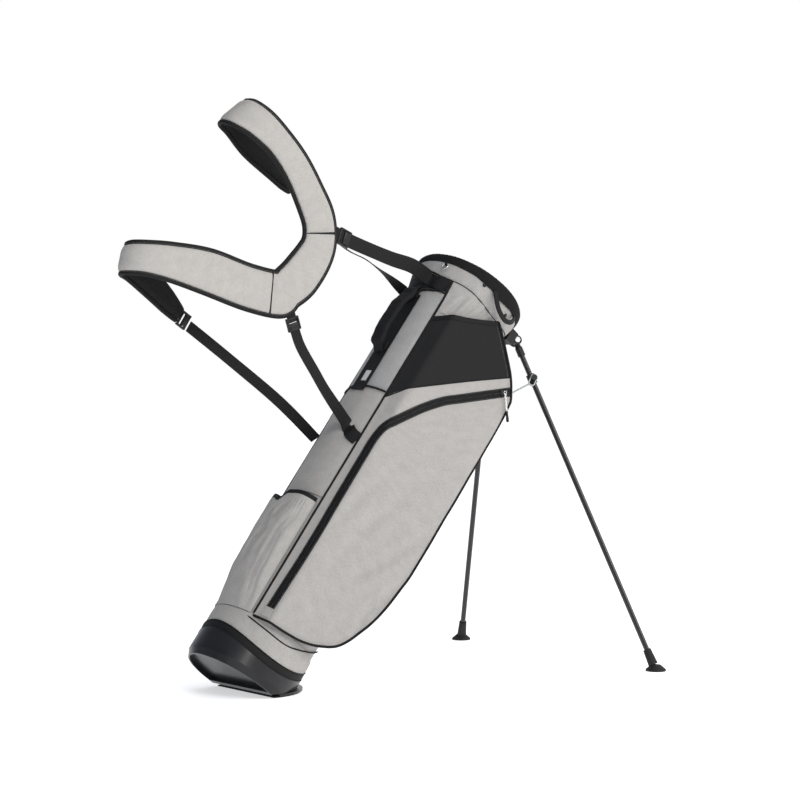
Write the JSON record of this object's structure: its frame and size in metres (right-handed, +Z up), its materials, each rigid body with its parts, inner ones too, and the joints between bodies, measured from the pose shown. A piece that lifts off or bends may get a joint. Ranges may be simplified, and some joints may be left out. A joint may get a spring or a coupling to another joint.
{
  "type": "golf stand bag",
  "caption": "Leaning golf stand bag: round tube body with flank pockets, two folding legs opened by a hinged foot plate, and a padded double shoulder harness.",
  "frame": {"origin": "on the ground under the hinge of the foot plate, in the middle plane", "axes": "+X from the base towards the feet of the legs, +Z up, -Y the side of the long pocket (the left side)"},
  "size_m": [1.009, 0.583, 1.0156],
  "materials": {
    "moulded_black": "fine moulded grain",
    "rubber_black": "matt rubber",
    "rim_foam": "soft foam rim with a smooth skin",
    "bright_steel": "bright wire and rivets",
    "leg_paint": "glossy black tube",
    "grey_cloth": "light grey melange polyester weave",
    "pad_cloth": "light grey melange weave over foam, bound in black",
    "black_mesh": "black open mesh",
    "black_webbing": "black ribbed webbing",
    "zip_black": "black coil zip",
    "pull_white": "white cord with a moulded tip",
    "label_white": "blank woven label",
    "stay_composite": "glass fibre rod",
    "lining_black": "thin black lining"
  },
  "bodies": {
    "bag": {"base_cup": "moulded_black", "foot_hinge_pin": "bright_steel", "body_shell": "grey_cloth", "stay_left": "stay_composite", "stay_right": "stay_composite", "spine_stay": "stay_composite", "base_trim": "black_webbing", "lower_band": "grey_cloth", "spine_panel": "grey_cloth", "hip_pad": "black_mesh", "rod_guide_lower": "moulded_black", "rod_guide_upper": "moulded_black", "leg_bracket": "moulded_black", "pivot_pin_left": "bright_steel", "pivot_pin_right": "bright_steel", "top_cuff": "moulded_black", "cuff_band": "grey_cloth", "rim_pad": "rim_foam", "club_divider": "moulded_black", "full_divider": "lining_black", "side_pocket": "grey_cloth", "pocket_yoke": "grey_cloth", "mesh_pocket": "black_mesh", "zip_tape": "zip_black", "ball_pocket": "grey_cloth", "far_pocket": "grey_cloth", "bottle_pocket": "grey_cloth", "strap_anchor": "black_webbing", "spine_webbing": "black_webbing", "carry_handle": "black_webbing", "blank_label": "label_white", "ring_tab": "black_webbing", "lift_handle": "black_webbing", "harness_yoke": "pad_cloth", "shoulder_pad_upper": "pad_cloth", "shoulder_pad_lower": "pad_cloth", "web_spine": "black_webbing", "web_flank": "black_webbing", "web_lower": "black_webbing", "web_upper": "black_webbing", "buckle_spine": "moulded_black", "buckle_flank": "moulded_black", "adjuster_lower": "moulded_black"},
    "foot_plate": {"foot_plate": "moulded_black", "foot_tread": "rubber_black"},
    "push_rod": {"push_rod": "bright_steel", "push_bar": "moulded_black"},
    "spreader_left": {"spreader_left": "bright_steel"},
    "spreader_right": {"spreader_right": "bright_steel"},
    "leg_left": {"leg_tube_left": "leg_paint", "leg_top_left": "moulded_black", "leg_collar_left": "moulded_black", "leg_foot_left": "rubber_black"},
    "leg_right": {"leg_tube_right": "leg_paint", "leg_top_right": "moulded_black", "leg_collar_right": "moulded_black", "leg_foot_right": "rubber_black"},
    "zip_slider": {"zip_slider": "zip_black"},
    "zip_puller": {"zip_puller": "pull_white"},
    "gear_ring": {"gear_ring": "bright_steel"}
  },
  "joints": [
    {"name": "leg_left_fold", "type": "hinge", "parent": "bag", "child": "leg_left", "pos_m": [0.58789, -0.036, 0.60324], "axis": [0.3515, 0.895, -0.2746], "range_deg": [0, 53.44]},
    {"name": "leg_right_fold", "type": "hinge", "parent": "bag", "child": "leg_right", "pos_m": [0.58789, 0.036, 0.60324], "axis": [-0.3515, 0.895, 0.2746], "range_deg": [0, 53.44]},
    {"name": "foot_plate_fold", "type": "hinge", "parent": "bag", "child": "foot_plate", "pos_m": [0, 0, 0.008], "axis": [0, 1, 0], "range_deg": [0, 38.01]},
    {"name": "push_rod_slide", "type": "slide", "parent": "bag", "child": "push_rod", "axis": [-0.6157, 0, -0.788], "range_m": [0, 0.0523]},
    {"name": "spreader_left_swing", "type": "hinge", "parent": "push_rod", "child": "spreader_left", "pos_m": [0.43815, -0.014, 0.44536], "axis": [-0.4395, -0.8737, 0.2086], "range_deg": [0, 19.58]},
    {"name": "spreader_right_swing", "type": "hinge", "parent": "push_rod", "child": "spreader_right", "pos_m": [0.43815, 0.014, 0.44536], "axis": [0.4395, -0.8737, -0.2086], "range_deg": [0, 19.58]},
    {"name": "zip_slide", "type": "slide", "parent": "bag", "child": "zip_slider", "axis": [-0.9696, 0.2166, -0.1139], "range_m": [0, 0.1133]},
    {"name": "zip_puller_swing", "type": "hinge", "parent": "zip_slider", "child": "zip_puller", "pos_m": [0.46733, -0.14047, 0.51011], "axis": [-0.2348, -0.9546, 0.1834], "range_deg": [-60, 60]},
    {"name": "gear_ring_swing", "type": "hinge", "parent": "bag", "child": "gear_ring", "pos_m": [0.41033, -0.04555, 0.74324], "axis": [-0.3205, 0.9135, 0.2504], "range_deg": [0, 60]}
  ],
  "couplings": [
    {"joint": "leg_right_fold", "follows": "leg_left_fold", "ratio": 1},
    {"joint": "foot_plate_fold", "follows": "leg_left_fold", "ratio": 0.71111},
    {"joint": "push_rod_slide", "follows": "leg_left_fold", "m_per_rad": 0.05605},
    {"joint": "spreader_left_swing", "follows": "leg_left_fold", "ratio": 0.3662},
    {"joint": "spreader_right_swing", "follows": "leg_left_fold", "ratio": 0.3662}
  ]
}
